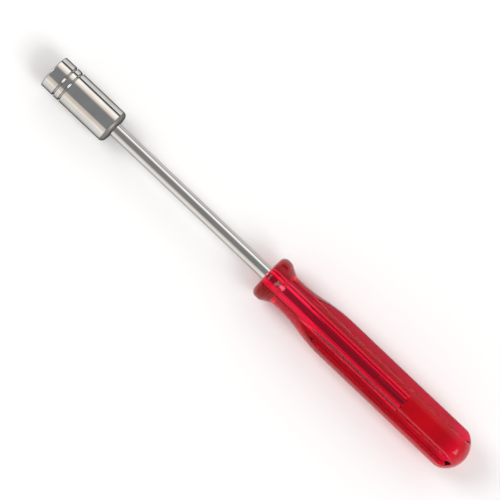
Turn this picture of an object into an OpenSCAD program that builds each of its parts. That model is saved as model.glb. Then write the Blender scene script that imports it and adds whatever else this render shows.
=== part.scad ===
// A nut driver: a socket for one size of nut, a plain round shaft and a clear fluted handle.
// The tool lies along X. The origin is the middle of the socket's mouth, which faces -X.
// A land of the handle, between two of its flutes, looks straight up, along Z.

/* [Nut recess] */
// Width of the nut across its flats
nut_af = 9.525; // [8:0.025:12]
// Room left all round between the nut and the recess
nut_clear = 0.05; // [0.02:0.01:0.15]
// Depth of the six-sided recess
hex_depth = 11; // [6:0.5:14]
// How far the rim of the lead-in cone stands outside the corners of the recess
lead_rim = 0.1; // [0.05:0.01:0.2]
// Slope of the lead-in cone
lead_angle = 45; // [30:1:60]
// Wall left between the flats of the recess and the round hole behind it
bolt_step = 0.5; // [0.2:0.05:1.5]
// Length of the round hole behind the recess, for the end of the bolt
bolt_room = 5.5; // [2:0.5:12]
// Full angle of the drill point at the end of that hole
drill_angle = 118; // [90:1:140]

/* [Socket] */
// Wall outside the corners of the recess
corner_wall = 0.8; // [0.6:0.05:2]
// Solid web between the bolt hole and the end of the shaft
socket_web = 1.7; // [1:0.1:5]
// Radius of the rounded outer edge at the mouth
mouth_edge_r = 0.4; // [0.2:0.05:0.5]
// Radius of the rounded rear shoulder
shoulder_r = 1.6; // [0.8:0.1:2.5]
// Distance from the mouth to the middle of the first ring groove
groove_first = 5.4; // [3:0.1:8]
// Distance between the middles of the ring grooves
groove_pitch = 2.6; // [1.5:0.1:4]
// Number of ring grooves
groove_count = 2; // [1:1:3]
// Width of a ring groove, which is half round
groove_w = 0.84; // [0.3:0.02:0.9]

/* [Shaft] */
// Diameter of the shaft
shaft_d = 5; // [4:0.02:6.5]
// Distance from the socket's mouth to the front of the handle
blade_len = 100.4; // [60:0.4:160]
// Length of the shaft that is fixed in the socket
shaft_seat = 8; // [5:0.5:12]
// Length of the shaft that is buried in the handle
tang_depth = 64.5; // [50:0.5:74]
// Chamfer on both ends of the shaft
end_chamfer = 0.4; // [0.1:0.05:0.8]
// Full-width length of the two wings on the buried end
wing_len = 10.9; // [6:0.1:16]
// Length of the ramp in front of each wing
wing_ramp = 2.2; // [1:0.1:4]
// How far each wing stands out from the shaft
wing_reach = 1; // [0.5:0.1:1.8]
// Thickness of the wings
wing_t = 1.2; // [0.8:0.1:2.4]
// Room left all round between the shaft and the pieces that hold it
fit_clear = 0.02; // [0.01:0.01:0.05]

/* [Handle collar] */
// Diameter of the collar at the front of the handle
collar_d = 17; // [15:0.1:20]
// Length of the straight crest of the collar
crest_len = 1; // [0.2:0.1:2]
// Radius of the rounded edges of the collar
collar_edge_r = 2.4; // [1:0.1:3]
// How far the middle of the front face stands out
face_crown = 0.2; // [0.1:0.05:0.8]
// Slope of the flank behind the collar
flank_angle = 30; // [20:1:50]
// Radius of the hollow fillet between the flank and the neck
neck_fillet_r = 4.8; // [2:0.1:8]

/* [Handle grip] */
// Overall length of the handle
handle_len = 93; // [82:0.5:120]
// Diameter of the neck behind the collar
neck_d = 12.4; // [10:0.1:12.6]
// Distance from the front of the handle to where the neck starts to swell
swell_start = 11.7; // [10:0.1:18]
// Length over which the neck swells into the grip
swell_len = 21.3; // [12:0.1:26]
// Diameter of the grip over its lands
grip_d = 16.6; // [16.2:0.1:20]
// Number of flutes
flute_count = 4; // [3:1:6]
// Depth of a flute below the lands
flute_depth = 1.6; // [1:0.05:2.1]
// Angle between the two walls of a flute
flute_angle = 130; // [100:1:140]
// Radius of the rounded bottom of a flute
flute_bottom_r = 0.8; // [0.4:0.1:1.5]
// Radius of the rounded shoulder of the butt
butt_shoulder_r = 5.5; // [3:0.1:7]
// How much larger the radius of the butt's crown is than the radius of the grip
butt_crown_add = 0.6; // [0.3:0.1:4]

/* [Hidden] */
$fn = 96;

// How far a cut runs past the surface that it opens
cut_over = 1;
// How far a chord of the handle's outline may lie from its arc
chord_error = 0.006;
// Part of the swell's bend that is hollow, before it turns to a crown
swell_hollow_share = 0.43;
// Part of the flank's drop that the hollow fillet may take up
fillet_limit_share = 0.9;

// Recess and socket
flat_r = nut_af / 2 + nut_clear;
corner_r = flat_r / cos(180 / 6);
lead_r = corner_r + lead_rim;
lead_depth = (lead_r - flat_r) / tan(lead_angle);
bolt_bore_r = flat_r - bolt_step;
bolt_bore_end = hex_depth + bolt_room;
drill_point_len = bolt_bore_r / tan(drill_angle / 2);
socket_r = corner_r + corner_wall;
seat_x = bolt_bore_end + drill_point_len + socket_web;
socket_len = seat_x + shaft_seat;
groove_r = groove_w / 2;

// Shaft
shaft_r = shaft_d / 2;
shaft_len = blade_len + tang_depth - seat_x;
tang_x = blade_len + tang_depth;
wing_x = tang_x - wing_len;
wing_r = shaft_r + wing_reach;

// Collar: the centres of its crowned face, rounded edges and hollow fillet, as radius and distance
collar_r = collar_d / 2;
neck_r = neck_d / 2;
bead_r = collar_r - collar_edge_r;
front_bead = [bead_r, face_crown + collar_edge_r];
rear_bead = front_bead + [0, crest_len];
face_r = (pow(bead_r, 2) + pow(front_bead[1], 2) - pow(collar_edge_r, 2)) / (2 * face_crown);
face_centre = [0, face_r];
face_turn = -acos(bead_r / (face_r - collar_edge_r));
flank_normal = [cos(flank_angle), sin(flank_angle)];
flank_run = [-sin(flank_angle), cos(flank_angle)];
flank_top = rear_bead + collar_edge_r * flank_normal;
fillet_limit = fillet_limit_share * (flank_top[0] - neck_r) / (1 - cos(flank_angle));
fillet_r = min(neck_fillet_r, fillet_limit);
flank_drop = flank_top[0] - neck_r - fillet_r * (1 - cos(flank_angle));
flank_foot = flank_top + flank_drop / sin(flank_angle) * flank_run;
fillet_centre = flank_foot + fillet_r * flank_normal;

// Swell: the centres of a hollow bend and of the crowned bend that it turns into
grip_r = grip_d / 2;
swell_angle = 2 * atan((grip_r - neck_r) / swell_len);
swell_sum_r = swell_len / sin(swell_angle);
hollow_r = swell_hollow_share * swell_sum_r;
crown_r = swell_sum_r - hollow_r;
hollow_centre = [neck_r + hollow_r, swell_start];
crown_centre = [grip_r - crown_r, swell_start + swell_len];

// Butt: the centres of its crown and of the rounded shoulder that runs into it
butt_r = grip_r + butt_crown_add;
butt_centre = [0, handle_len - butt_r];
shoulder_in = grip_r - butt_shoulder_r;
butt_turn = acos(shoulder_in / (butt_r - butt_shoulder_r));
shoulder_centre = butt_centre + [shoulder_in, shoulder_in * tan(butt_turn)];

// Flutes: the centre of the rounded bottom, and from it the lower and upper end of one wall
flute_centre_r = grip_r - flute_depth + flute_bottom_r;
wall_turn = flute_angle / 2;
wall_len = (flute_depth + cut_over) / cos(wall_turn);
wall_foot = flute_bottom_r * [-sin(wall_turn), cos(wall_turn)];
wall_top = wall_foot + wall_len * [cos(wall_turn), sin(wall_turn)];

// Points along an arc about a centre, in steps short enough to keep its chords close to it
function arc(centre, r, from, to, first = 0) =
    let (steps = ceil(abs(to - from) / (2 * acos(1 - chord_error / r))))
    [for (i = [first : steps])
        let (turn = from + (to - from) * i / steps)
        centre + r * [cos(turn), sin(turn)]];

function unit(v) = v / norm(v);

// Turns a shape that stands on Z so that it lies along X
module along_x() rotate([0, 90, 0]) children();

// The part of a disc beyond the chord from p to q, on the side away from its centre
module disc_segment(p, q, centre, r) {
    out = r * unit((p + q) / 2 - centre);
    intersection() {
        translate(centre) circle(r);
        polygon([p, q, q + out, p + out]);
    }
}

// Half section of the socket's outside, without its grooves
module socket_outline() {
    mouth_rim = [socket_r - mouth_edge_r, 0];
    mouth_side = [socket_r, mouth_edge_r];
    shoulder_side = [socket_r, socket_len - shoulder_r];
    shoulder_rim = [socket_r - shoulder_r, socket_len];
    polygon([[0, 0], mouth_rim, mouth_side, shoulder_side, shoulder_rim, [0, socket_len]]);
    disc_segment(mouth_rim, mouth_side, [mouth_rim[0], mouth_side[1]], mouth_edge_r);
    disc_segment(shoulder_side, shoulder_rim, [shoulder_rim[0], shoulder_side[1]], shoulder_r);
}

// The socket's outside, turned on Z with its mouth down
module socket_blank() {
    rotate_extrude() difference() {
        socket_outline();
        for (i = [0 : groove_count - 1])
            translate([socket_r, groove_first + i * groove_pitch]) circle(groove_r);
    }
}

// Everything that is cut out of the socket: the nut recess, the bolt hole and the shaft's seat
module socket_cuts() {
    translate([0, 0, -cut_over]) cylinder(r = corner_r, h = hex_depth + cut_over, $fn = 6);
    cylinder(r1 = lead_r, r2 = flat_r, h = lead_depth);
    cylinder(r = bolt_bore_r, h = bolt_bore_end);
    translate([0, 0, bolt_bore_end]) cylinder(r1 = bolt_bore_r, r2 = 0, h = drill_point_len);
    translate([0, 0, seat_x]) cylinder(r = shaft_r + fit_clear, h = shaft_seat + cut_over);
}

module socket() {
    color("silver") along_x() difference() {
        socket_blank();
        socket_cuts();
    }
}

// The two wings of the shaft as one upright plate, with room all round it
module wing_plate(room) {
    reach = wing_r + room;
    ramp_x = wing_x - wing_ramp * wing_r / wing_reach;
    rotate([90, 0, 0])
        translate([0, 0, -wing_t / 2 - room])
            linear_extrude(wing_t + 2 * room)
                polygon([
                    [ramp_x - room, 0],
                    [wing_x - room, reach],
                    [tang_x + room, reach],
                    [tang_x + room, -reach],
                    [wing_x - room, -reach]
                ]);
}

// The plain rod, turned on Z, with a chamfer on both ends
module shaft_rod() {
    rotate_extrude() polygon([
        [0, 0],
        [shaft_r - end_chamfer, 0],
        [shaft_r, end_chamfer],
        [shaft_r, shaft_len - end_chamfer],
        [shaft_r - end_chamfer, shaft_len],
        [0, shaft_len]
    ]);
}

module shaft() {
    color("gainsboro") {
        translate([seat_x, 0, 0]) along_x() shaft_rod();
        wing_plate(0);
    }
}

// Half section of the handle over its collar, neck, grip and butt
module handle_outline() {
    polygon(concat(
        arc(face_centre, face_r, -90, face_turn),
        arc(front_bead, collar_edge_r, face_turn, 0, 1),
        arc(rear_bead, collar_edge_r, 0, flank_angle),
        arc(fillet_centre, fillet_r, 180 + flank_angle, 180),
        arc(hollow_centre, hollow_r, 180, 180 - swell_angle),
        arc(crown_centre, crown_r, -swell_angle, 0, 1),
        arc(shoulder_centre, butt_shoulder_r, 0, butt_turn),
        arc(butt_centre, butt_r, butt_turn, 90, 1)
    ));
}

// Section of what a flute takes away: two straight walls that meet in a rounded bottom
module flute_section() {
    circle(flute_bottom_r);
    polygon([
        wall_foot,
        wall_top,
        [wall_top[0], -wall_top[1]],
        [wall_foot[0], -wall_foot[1]]
    ]);
}

// The flutes, standing on Z: they start in the air beside the neck and run out over the butt
module flutes() {
    for (i = [0 : flute_count - 1])
        rotate([0, 0, 180 + (i + 1 / 2) * 360 / flute_count])
            translate([flute_centre_r, 0, swell_start])
                linear_extrude(handle_len - swell_start + cut_over)
                    flute_section();
}

// The hole that the buried end of the shaft fills
module shaft_hole() {
    translate([blade_len - cut_over, 0, 0]) along_x()
        cylinder(r = shaft_r + fit_clear, h = tang_depth + cut_over + fit_clear);
    wing_plate(fit_clear);
}

module handle() {
    color([0.78, 0.04, 0.14, 0.8]) difference() {
        translate([blade_len, 0, 0]) along_x() difference() {
            rotate_extrude() handle_outline();
            flutes();
        }
        shaft_hole();
    }
}

socket();
shaft();
handle();
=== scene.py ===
import math

import bpy
import numpy as np
from mathutils import Matrix, Vector


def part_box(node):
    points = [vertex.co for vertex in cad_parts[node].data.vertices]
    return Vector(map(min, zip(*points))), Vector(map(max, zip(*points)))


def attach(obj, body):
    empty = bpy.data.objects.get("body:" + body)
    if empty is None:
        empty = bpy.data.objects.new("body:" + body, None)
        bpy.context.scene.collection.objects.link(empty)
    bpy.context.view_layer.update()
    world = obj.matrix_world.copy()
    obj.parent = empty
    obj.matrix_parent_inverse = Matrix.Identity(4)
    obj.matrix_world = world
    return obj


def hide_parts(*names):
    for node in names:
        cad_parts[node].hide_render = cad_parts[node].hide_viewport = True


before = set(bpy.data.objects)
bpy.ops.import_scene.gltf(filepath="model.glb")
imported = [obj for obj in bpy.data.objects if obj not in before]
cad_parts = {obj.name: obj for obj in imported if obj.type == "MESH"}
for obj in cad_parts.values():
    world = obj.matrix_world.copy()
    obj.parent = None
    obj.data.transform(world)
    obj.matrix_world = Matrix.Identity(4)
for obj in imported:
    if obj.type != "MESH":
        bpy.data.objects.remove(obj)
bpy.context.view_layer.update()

# Lengths are in metres
MM = 0.001

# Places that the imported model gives
handle_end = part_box("handle")[1].x
shaft_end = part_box("shaft")[1].x
shaft_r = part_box("shaft")[1].y
socket_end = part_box("socket")[1].x
socket_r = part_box("socket")[1].z

# Handle length and collar
handle_len = 93 * MM
handle_front = handle_end - handle_len
collar_r = 8.5 * MM
collar_edge_r = 2.4 * MM
crest_len = 1 * MM
face_crown = 0.2 * MM
flank_angle = math.radians(30)
neck_fillet_r = 4.8 * MM

# Handle neck, swell, grip and butt
neck_r = 6.2 * MM
swell_start = 11.7 * MM
swell_len = 21.3 * MM
swell_hollow_share = 0.43
grip_r = 8.3 * MM
flute_count = 4
flute_depth = 1.6 * MM
flute_angle = math.radians(130)
flute_bottom_r = 0.8 * MM
land_blend = 0.35 * MM
butt_shoulder_r = 5.5 * MM
butt_crown_add = 0.6 * MM

# How far the plastic's skin lies inside the metal that it grips
grip_fit = 0.02 * MM
hole_r = shaft_r - grip_fit
hole_end = shaft_end - grip_fit

# Fineness of the handle's mesh, and the part of the butt's crown that lies outside the fan at its pole
handle_columns = 480
chord = 0.3 * MM
least_arc_chords = 3
grip_chord = 4 * MM
crown_ring_share = 0.985
sharp_angle = math.radians(40)

# Socket and shaft details that their plating follows
mouth_edge_r = 0.4 * MM
shoulder_r = 1.6 * MM
wing_len = 10.9 * MM
wing_ramp = 2.2 * MM
shoulder_start = socket_end - shoulder_r
tang_start = shaft_end - wing_len
ramp_start = tang_start - wing_ramp

# Clear plastic: its skin, and what its depth does to light
plastic_tint = (0.92, 0.1, 0.2, 1)
plastic_through = (0.967, 0.0, 0.58, 1)
plastic_density = 250
plastic_ior = 1.48
plastic_gloss = (0.42, 0.42, 0.42, 1)
plastic_roughness = (0.02, 0.07)
rub_scale = (60, 500, 500)
rub_detail = 3
rub_range = (0.45, 0.8)
ripple_scale = (25, 300, 300)
ripple_detail = 1
ripple_height = 0.0015 * MM

# Plating of the socket and the shaft, which darkens at grazing angles
edge_tint = (0, 0, 0, 1)
plate_roughness = (0.05, 0.1)
mark_detail = 2
mark_range = (0.3, 0.7)
cloud_detail = 3
cloud_range = (0.4, 0.7)

# Socket: turning rings, painted shade that deepens with the depth below its outside, and a duller lip and
# shoulder whose colour holds a painted dark reflection
socket_colour = (0.68, 0.668, 0.648)
socket_worn = (0.62, 0.604, 0.578)
socket_cloud_scale = (150, 150, 150)
ring_scale = (9000, 40, 40)
ring_height = 0.0015 * MM
# Painted shade in the grooves and the recess, darker the deeper they lie below the outside
painted_recess_shade = (0.4, 0.39, 0.37)
shade_full_depth = 0.3 * MM
shade_start_depth = 0.08 * MM
# Painted dark reflection on the lip and the shoulder, which also get the duller roughness below
painted_dark_reflection = (0.25, 0.245, 0.235)
dull_roughness = 0.4
lip_dull_and_dark_len = 0.1 * MM
shoulder_fade = 0.3 * MM

# Shaft: drawing streaks, and the warmer metal that is buried in the handle, with rougher wings
shaft_colour = (0.69, 0.68, 0.67)
shaft_worn = (0.64, 0.628, 0.614)
shaft_cloud_scale = (90, 400, 400)
streak_scale = (40, 6000, 6000)
streak_height = 0.001 * MM
buried_colour = (0.9, 0.87, 0.6)
buried_roughness = 0.02
buried_fade = 0.3 * MM
tang_colour = (1, 0.96, 0.6)
tang_roughness = 0.1
tang_fade = 0.5 * MM
ramp_roughness = 0.15
ramp_fade = 0.1 * MM

# Where the photograph was taken from
view_lean = math.radians(9)
axis_slope = math.radians(43.5)
lens_mm = 165
sensor_mm = 36
view_distance = 0.7836
view_target_x = 90.8 * MM
view_target_side = 1.8 * MM
to_camera = Vector((0, -math.sin(view_lean), math.cos(view_lean)))
to_upper = Vector((0, math.cos(view_lean), math.sin(view_lean)))
along_tool = Vector((1, 0, 0))

# Round sheet of white paper under the tool, whose far edge curls up
floor_flat_r = 3
floor_curl_r = 1
floor_curl = math.radians(36)
floor_curl_steps = 12
floor_columns = 96
floor_colour = (0.92, 0.92, 0.92, 1)
floor_roughness = 0.9
floor_gloss = 0.1

# Brightness and warmth of the surroundings by the turn about the tool's axis, in degrees from the camera
surround = (
    (-100, 1.45, 0.05),
    (-80, 1.45, 0.05),
    (-72, 1.3, 0.08),
    (-64, 1.0, 0.1),
    (-43, 0.8, 0.1),
    (-37, 0.3, -0.03),
    (28, 0.3, -0.03),
    (36, 0.42, 0.05),
    (44, 1.0, 0.08),
    (58, 1.35, 0.06),
    (68, 1.5, 0.03),
    (75, 1.5, 0.02),
    (80, 0.8, 0),
    (84, 0.1, 0),
    (110, 0.05, 0),
)

# The ramp of these spans a full turn, with the camera's side in its middle
full_turn = 360
ramp_middle = 0.5

# Brightness towards the tool's two ends, by the share of a direction that points along the tool
end_level = 0.8
end_from = 0.3
end_full = 0.6

# Two broad lamps over the tool, one towards each of its ends, so that its shadow falls along it
lamp_tilt = math.radians(48)
lamp_spread = math.radians(30)
lamp_level = 1.1


def link(obj):
    """Put an object into the scene."""
    bpy.context.scene.collection.objects.link(obj)


# Shapes


def arc(centre, radius, start, end):
    """Points (radius, distance) along an arc of a half section, in short chords."""
    steps = max(least_arc_chords, math.ceil(abs(end - start) * radius / chord))
    turn = np.linspace(start, end, steps + 1)
    return np.array(centre) + radius * np.column_stack((np.cos(turn), np.sin(turn)))


def straight(start, end, longest):
    """Points along a straight stretch of a half section, without its two ends."""
    start, end = np.array(start), np.array(end)
    steps = max(1, math.ceil(np.linalg.norm(end - start) / longest))
    share = np.linspace(0, 1, steps + 1)[1:-1, None]
    return start + share * (end - start)


def handle_section():
    """Half section of the handle, as (radius, distance from its front), from its hole to its butt."""
    bead_r = collar_r - collar_edge_r
    front_bead = (bead_r, face_crown + collar_edge_r)
    rear_bead = (bead_r, front_bead[1] + crest_len)
    face_r = (bead_r**2 + front_bead[1]**2 - collar_edge_r**2) / (2 * face_crown)
    face_turn = -math.acos(bead_r / (face_r - collar_edge_r))
    hole_turn = -math.acos(hole_r / face_r)
    flank_top = (
        bead_r + collar_edge_r * math.cos(flank_angle),
        rear_bead[1] + collar_edge_r * math.sin(flank_angle),
    )
    flank_drop = flank_top[0] - neck_r - neck_fillet_r * (1 - math.cos(flank_angle))
    fillet_centre = (
        neck_r + neck_fillet_r,
        flank_top[1] + flank_drop / math.tan(flank_angle) + neck_fillet_r * math.sin(flank_angle),
    )
    swell_angle = 2 * math.atan((grip_r - neck_r) / swell_len)
    swell_sum_r = swell_len / math.sin(swell_angle)
    hollow_r = swell_hollow_share * swell_sum_r
    crown_r = swell_sum_r - hollow_r
    swell_end = swell_start + swell_len
    butt_r = grip_r + butt_crown_add
    shoulder_in = grip_r - butt_shoulder_r
    butt_turn = math.acos(shoulder_in / (butt_r - butt_shoulder_r))
    butt_centre = (0, handle_len - butt_r)
    shoulder_centre = (shoulder_in, butt_centre[1] + shoulder_in * math.tan(butt_turn))
    last_turn = butt_turn + (math.pi / 2 - butt_turn) * crown_ring_share
    fillet = arc(fillet_centre, neck_fillet_r, math.pi + flank_angle, math.pi)
    swell_hollow = arc((neck_r + hollow_r, swell_start), hollow_r, math.pi, math.pi - swell_angle)
    swell_crown = arc((grip_r - crown_r, swell_end), crown_r, -swell_angle, 0)
    shoulder = arc(shoulder_centre, butt_shoulder_r, 0, butt_turn)
    return np.concatenate((
        arc((0, face_r), face_r, hole_turn, face_turn),
        arc(front_bead, collar_edge_r, face_turn, 0)[1:],
        arc(rear_bead, collar_edge_r, 0, flank_angle),
        straight(flank_top, fillet[0], chord),
        fillet,
        straight(fillet[-1], swell_hollow[0], chord),
        swell_hollow,
        swell_crown[1:],
        straight(swell_crown[-1], shoulder[0], grip_chord),
        shoulder,
        arc(butt_centre, butt_r, butt_turn, last_turn)[1:],
    ))


def soft_min(a, b, passage):
    """The smaller of two values, with a round passage of the given size where they are near each other."""
    near = np.maximum(passage - np.abs(a - b), 0) / passage
    return np.minimum(a, b) - near**2 * passage / 4


def flute_reach(turn):
    """Distance from the axis to the nearest flute, in directions given as turns from a land's middle."""
    pitch = 2 * math.pi / flute_count
    off = np.abs(turn % pitch - pitch / 2)
    wall_turn = flute_angle / 2
    centre_r = grip_r - flute_depth + flute_bottom_r
    apex_r = centre_r - flute_bottom_r / math.sin(wall_turn)
    wall = apex_r * math.sin(wall_turn) / np.sin(wall_turn - off)
    foot_side = flute_bottom_r * math.cos(wall_turn)
    foot_off = math.atan2(foot_side, centre_r - flute_bottom_r * math.sin(wall_turn))
    across = centre_r * np.sin(np.minimum(off, foot_off))
    bottom = centre_r * np.cos(off) - np.sqrt(flute_bottom_r**2 - across**2)
    return np.where(off < foot_off, bottom, wall)


def ring_faces(count, columns):
    """Four-sided faces between rings of points that follow each other."""
    ring = np.arange(columns)
    after = (ring + 1) % columns
    faces = []
    for i in range(count - 1):
        low, high = i * columns, (i + 1) * columns
        faces += np.column_stack((low + ring, low + after, high + after, high + ring)).tolist()
    return faces


def ring_mesh(name, rings, first_pole, last_pole):
    """A closed mesh through rings of points, with a fan to one point at each end."""
    count, columns = rings.shape[:2]
    points = np.concatenate((rings.reshape(-1, 3), [first_pole, last_pole]))
    pairs = [(i, (i + 1) % columns) for i in range(columns)]
    last = (count - 1) * columns
    first_point = count * columns
    last_point = first_point + 1
    faces = ring_faces(count, columns)
    faces += [(first_point, b, a) for a, b in pairs]
    faces += [(last + a, last + b, last_point) for a, b in pairs]
    mesh = bpy.data.meshes.new(name)
    mesh.from_pydata(points.tolist(), [], faces)
    mesh.shade_smooth()
    mesh.set_sharp_from_angle(angle=sharp_angle)
    obj = bpy.data.objects.new(name, mesh)
    link(obj)
    return obj


def make_handle(material):
    """The handle, moulded onto the shaft, with flutes that run out on the swell and over the butt."""
    turn = np.arange(handle_columns) * 2 * math.pi / handle_columns
    section = handle_section()
    reach, along = section[:, :1], section[:, 1:]
    fluted = soft_min(reach, flute_reach(turn)[None, :], land_blend)
    reach = np.where(along >= swell_start, fluted, reach)
    along = np.broadcast_to(handle_front + along, reach.shape)
    reach = np.concatenate((np.full((1, handle_columns), hole_r), reach))
    along = np.concatenate((np.full((1, handle_columns), hole_end), along))
    rings = np.stack((along, reach * -np.sin(turn), reach * np.cos(turn)), axis=-1)
    obj = ring_mesh("clear_handle", rings, (hole_end, 0, 0), (handle_end, 0, 0))
    obj.data.materials.append(material)
    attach(obj, "root")
    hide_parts("handle")


# Node helpers


def new_material(name):
    """A material, with its node tree and its main shader."""
    material = bpy.data.materials.new(name)
    material.use_nodes = True
    shader = material.node_tree.nodes["Principled BSDF"]
    return material, material.node_tree, shader


def noise(tree, place, scale, detail):
    """Noise from 0 to 1 over a place, with its own scale along each axis."""
    stretch = tree.nodes.new("ShaderNodeMapping")
    stretch.inputs["Scale"].default_value = scale
    tree.links.new(place, stretch.inputs["Vector"])
    node = tree.nodes.new("ShaderNodeTexNoise")
    node.inputs["Scale"].default_value = 1
    node.inputs["Detail"].default_value = detail
    tree.links.new(stretch.outputs["Vector"], node.inputs["Vector"])
    return node.outputs["Fac"]


def spread(tree, value, low, high, to_low, to_high):
    """A value mapped from one range to another, and kept inside it."""
    node = tree.nodes.new("ShaderNodeMapRange")
    for name, number in (("From Min", low), ("From Max", high), ("To Min", to_low), ("To Max", to_high)):
        node.inputs[name].default_value = number
    tree.links.new(value, node.inputs["Value"])
    return node.outputs["Result"]


def past(tree, along, start, fade):
    """0 before a place along the tool and 1 after it, with a short passage between them."""
    return spread(tree, along, start, start + fade, 0, 1)


def blend(tree, share, first, second):
    """A colour between two, each given as a colour or as a socket."""
    node = tree.nodes.new("ShaderNodeMix")
    node.data_type = "RGBA"
    tree.links.new(share, node.inputs["Factor"])
    for value, place in ((first, node.inputs["A"]), (second, node.inputs["B"])):
        if isinstance(value, tuple):
            place.default_value = (*value, 1)
        else:
            tree.links.new(value, place)
    return node.outputs["Result"]


def math_node(tree, operation, a, b):
    """The result of an operation on two sockets or numbers."""
    node = tree.nodes.new("ShaderNodeMath")
    node.operation = operation
    for value, place in ((a, node.inputs[0]), (b, node.inputs[1])):
        if isinstance(value, (int, float)):
            place.default_value = value
        else:
            tree.links.new(value, place)
    return node.outputs["Value"]


def dot_node(tree, direction, axis):
    """How far a direction points along an axis."""
    node = tree.nodes.new("ShaderNodeVectorMath")
    node.operation = "DOT_PRODUCT"
    tree.links.new(direction, node.inputs[0])
    node.inputs[1].default_value = axis
    return node.outputs["Value"]


def bump(tree, shader, height, depth):
    """Small relief of the given depth on a shader's surface."""
    node = tree.nodes.new("ShaderNodeBump")
    node.inputs["Distance"].default_value = depth
    tree.links.new(height, node.inputs["Height"])
    tree.links.new(node.outputs["Normal"], shader.inputs["Normal"])


# Materials


def clear_red():
    """Polished clear plastic, with the faint long ripples and rub marks of a moulded and handled grip."""
    material, tree, shader = new_material("clear_red_plastic")
    shader.inputs["Base Color"].default_value = plastic_tint
    shader.inputs["IOR"].default_value = plastic_ior
    shader.inputs["Specular Tint"].default_value = plastic_gloss
    shader.inputs["Transmission Weight"].default_value = 1
    place = tree.nodes.new("ShaderNodeTexCoord").outputs["Object"]
    rubs = noise(tree, place, rub_scale, rub_detail)
    tree.links.new(spread(tree, rubs, *rub_range, *plastic_roughness), shader.inputs["Roughness"])
    bump(tree, shader, noise(tree, place, ripple_scale, ripple_detail), ripple_height)
    volume = tree.nodes.new("ShaderNodeVolumeAbsorption")
    volume.inputs["Color"].default_value = plastic_through
    volume.inputs["Density"].default_value = plastic_density
    tree.links.new(volume.outputs["Volume"], tree.nodes["Material Output"].inputs["Volume"])
    return material


def new_plate(name):
    """A plated metal, with the place on the tool that its marks follow, whole and in its three parts."""
    material, tree, shader = new_material(name)
    shader.inputs["Metallic"].default_value = 1
    shader.inputs["Specular Tint"].default_value = edge_tint
    place = tree.nodes.new("ShaderNodeTexCoord").outputs["Object"]
    parts = tree.nodes.new("ShaderNodeSeparateXYZ")
    tree.links.new(place, parts.inputs["Vector"])
    return material, tree, shader, place, parts


def worn_plate(tree, place, scale, fresh, worn):
    """A plate's colour, which is worn in soft clouds."""
    cloud = noise(tree, place, scale, cloud_detail)
    return blend(tree, spread(tree, cloud, *cloud_range, 0, 1), fresh, worn)


def axis_distance(tree, parts):
    """Distance from the tool's axis."""
    side = math_node(tree, "MULTIPLY", parts.outputs["Y"], parts.outputs["Y"])
    height = math_node(tree, "MULTIPLY", parts.outputs["Z"], parts.outputs["Z"])
    return math_node(tree, "SQRT", math_node(tree, "ADD", side, height), 0)


def socket_plate():
    """Bright plate over fine turning rings, with painted shade in grooves and recess, and dull at lip and
    shoulder, which are darkened there as a painted dark reflection.
    """
    material, tree, shader, place, parts = new_plate("socket_plate")
    along = parts.outputs["X"]
    plate = worn_plate(tree, place, socket_cloud_scale, socket_colour, socket_worn)
    reach = axis_distance(tree, parts)
    # Painted shade: the colour darkens the deeper a point lies below the socket's outside, in grooves and
    # recess
    sunk = spread(tree, reach, socket_r - shade_full_depth, socket_r - shade_start_depth, 1, 0)
    shaded = blend(tree, sunk, plate, painted_recess_shade)
    # Lip and shoulder: rougher, and darkened in colour as a painted dark reflection
    shoulder = past(tree, along, shoulder_start, shoulder_fade)
    lip = spread(tree, along, lip_dull_and_dark_len, mouth_edge_r, 1, 0)
    dull_and_darkened = math_node(tree, "MAXIMUM", shoulder, lip)
    tree.links.new(blend(tree, dull_and_darkened, shaded, painted_dark_reflection), shader.inputs["Base Color"])
    rings = noise(tree, place, ring_scale, mark_detail)
    turned = spread(tree, rings, *mark_range, *plate_roughness)
    rough = math_node(tree, "ADD", turned, math_node(tree, "MULTIPLY", dull_and_darkened, dull_roughness))
    tree.links.new(rough, shader.inputs["Roughness"])
    bump(tree, shader, rings, ring_height)
    return material


def shaft_plate():
    """Bright plate drawn along its length, and warmer bare metal where the handle covers it."""
    material, tree, shader, place, parts = new_plate("shaft_plate")
    along = parts.outputs["X"]
    plate = worn_plate(tree, place, shaft_cloud_scale, shaft_colour, shaft_worn)
    buried = past(tree, along, handle_front, buried_fade)
    wings = past(tree, along, tang_start, tang_fade)
    bare = blend(tree, wings, buried_colour, tang_colour)
    tree.links.new(blend(tree, buried, plate, bare), shader.inputs["Base Color"])
    streaks = noise(tree, place, streak_scale, mark_detail)
    drawn = spread(tree, streaks, *mark_range, *plate_roughness)
    skin = spread(tree, wings, 0, 1, buried_roughness, tang_roughness)
    ramps = math_node(tree, "SUBTRACT", past(tree, along, ramp_start, ramp_fade), wings)
    skin = math_node(tree, "ADD", skin, math_node(tree, "MULTIPLY", ramps, ramp_roughness))
    rough = math_node(tree, "ADD", drawn, math_node(tree, "MULTIPLY", buried, skin))
    tree.links.new(rough, shader.inputs["Roughness"])
    bump(tree, shader, streaks, streak_height)
    return material


def floor_paper():
    """Plain paper, which is white by its colour and keeps the tool's shadow."""
    material, _, shader = new_material("floor_paper")
    shader.inputs["Base Color"].default_value = floor_colour
    shader.inputs["Roughness"].default_value = floor_roughness
    shader.inputs["Specular IOR Level"].default_value = floor_gloss
    return material


# Camera, floor and light


def make_camera():
    """A long lens that looks down on the tool, turned so that the tool lies aslant in the picture."""
    right = math.cos(axis_slope) * along_tool + math.sin(axis_slope) * to_upper
    up = math.cos(axis_slope) * to_upper - math.sin(axis_slope) * along_tool
    target = view_target_x * along_tool + view_target_side * to_upper
    data = bpy.data.cameras.new("camera")
    data.lens = lens_mm
    data.sensor_width = sensor_mm
    camera = bpy.data.objects.new("camera", data)
    turned = Matrix((right, up, to_camera)).transposed().to_4x4()
    camera.matrix_world = Matrix.Translation(target + view_distance * to_camera) @ turned
    link(camera)
    bpy.context.scene.camera = camera


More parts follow.
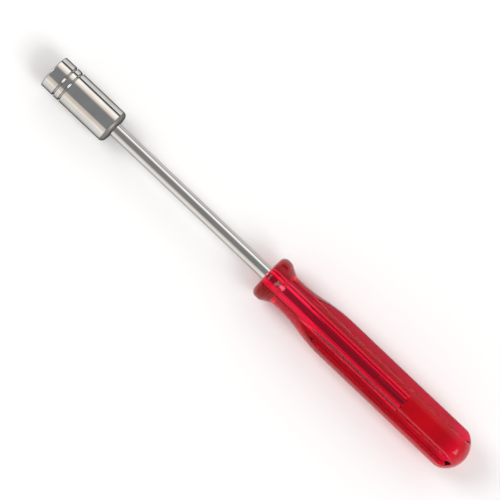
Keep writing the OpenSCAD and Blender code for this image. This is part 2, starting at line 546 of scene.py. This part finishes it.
def make_floor():
    """The paper, under the two places where the tool rests: the edge of its mouth and its collar."""
    front = Vector((mouth_edge_r, 0, -socket_r))
    rear = Vector((handle_front + face_crown + collar_edge_r + crest_len / 2, 0, -collar_r))
    slope = math.atan2(front.z - rear.z, rear.x - front.x)
    lift = np.linspace(floor_curl, 0, floor_curl_steps + 1)[:, None]
    turn = np.arange(floor_columns) * 2 * math.pi / floor_columns
    reach = floor_flat_r + floor_curl_r * np.sin(lift)
    height = np.broadcast_to(floor_curl_r * (1 - np.cos(lift)), (len(lift), floor_columns))
    rings = np.stack((reach * np.cos(turn), reach * np.sin(turn), height), axis=-1)
    first_flat = floor_curl_steps * floor_columns
    middle = list(range(first_flat, first_flat + floor_columns))
    mesh = bpy.data.meshes.new("floor")
    mesh.from_pydata(rings.reshape(-1, 3).tolist(), [], [middle, *ring_faces(len(lift), floor_columns)])
    mesh.shade_smooth()
    mesh.materials.append(floor_paper())
    floor = bpy.data.objects.new("floor", mesh)
    floor.matrix_world = Matrix.Translation(rear) @ Matrix.Rotation(slope, 4, "Y")
    link(floor)


def make_world():
    """A studio that is graded about the tool's axis and even towards both of the tool's ends."""
    world = bpy.data.worlds.new("studio")
    world.use_nodes = True
    bpy.context.scene.world = world
    tree = world.node_tree
    direction = tree.nodes.new("ShaderNodeTexCoord").outputs["Generated"]
    upper = dot_node(tree, direction, to_upper)
    towards = dot_node(tree, direction, to_camera)
    turn = math_node(tree, "ARCTAN2", upper, towards)
    ramp = tree.nodes.new("ShaderNodeValToRGB")
    tree.links.new(spread(tree, turn, -math.pi, math.pi, 0, 1), ramp.inputs["Fac"])
    stops = ramp.color_ramp.elements
    top = max(level for _, level, _ in surround)
    while len(stops) < len(surround):
        stops.new(ramp_middle)
    for stop, (degrees, level, warmth) in zip(stops, surround):
        share = level / top / (1 + abs(warmth))
        stop.position = degrees / full_turn + ramp_middle
        stop.color = (share * (1 + warmth), share, share * (1 - warmth), 1)
    along = math_node(tree, "ABSOLUTE", dot_node(tree, direction, along_tool), 0)
    ends = spread(tree, along, end_from, end_full, 0, 1)
    ends.node.interpolation_type = "SMOOTHSTEP"
    end_colour = (end_level / top,) * 3
    background = tree.nodes["Background"]
    tree.links.new(blend(tree, ends, ramp.outputs["Color"], end_colour), background.inputs["Color"])
    background.inputs["Strength"].default_value = top


def make_lamp(name, end):
    """A broad lamp that leans towards one end of the tool, -1 for the mouth and 1 for the butt."""
    data = bpy.data.lights.new(name, "SUN")
    data.energy = lamp_level
    data.angle = lamp_spread
    lamp = bpy.data.objects.new(name, data)
    source = math.cos(lamp_tilt) * to_camera + math.sin(lamp_tilt) * end * along_tool
    lamp.rotation_euler = source.to_track_quat("Z", "Y").to_euler()
    link(lamp)


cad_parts["socket"].data.materials[0] = socket_plate()
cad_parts["shaft"].data.materials[0] = shaft_plate()
make_handle(clear_red())
make_camera()
make_floor()
make_world()
make_lamp("mouth_lamp", -1)
make_lamp("butt_lamp", 1)
bpy.context.scene.view_settings.view_transform = "Standard"
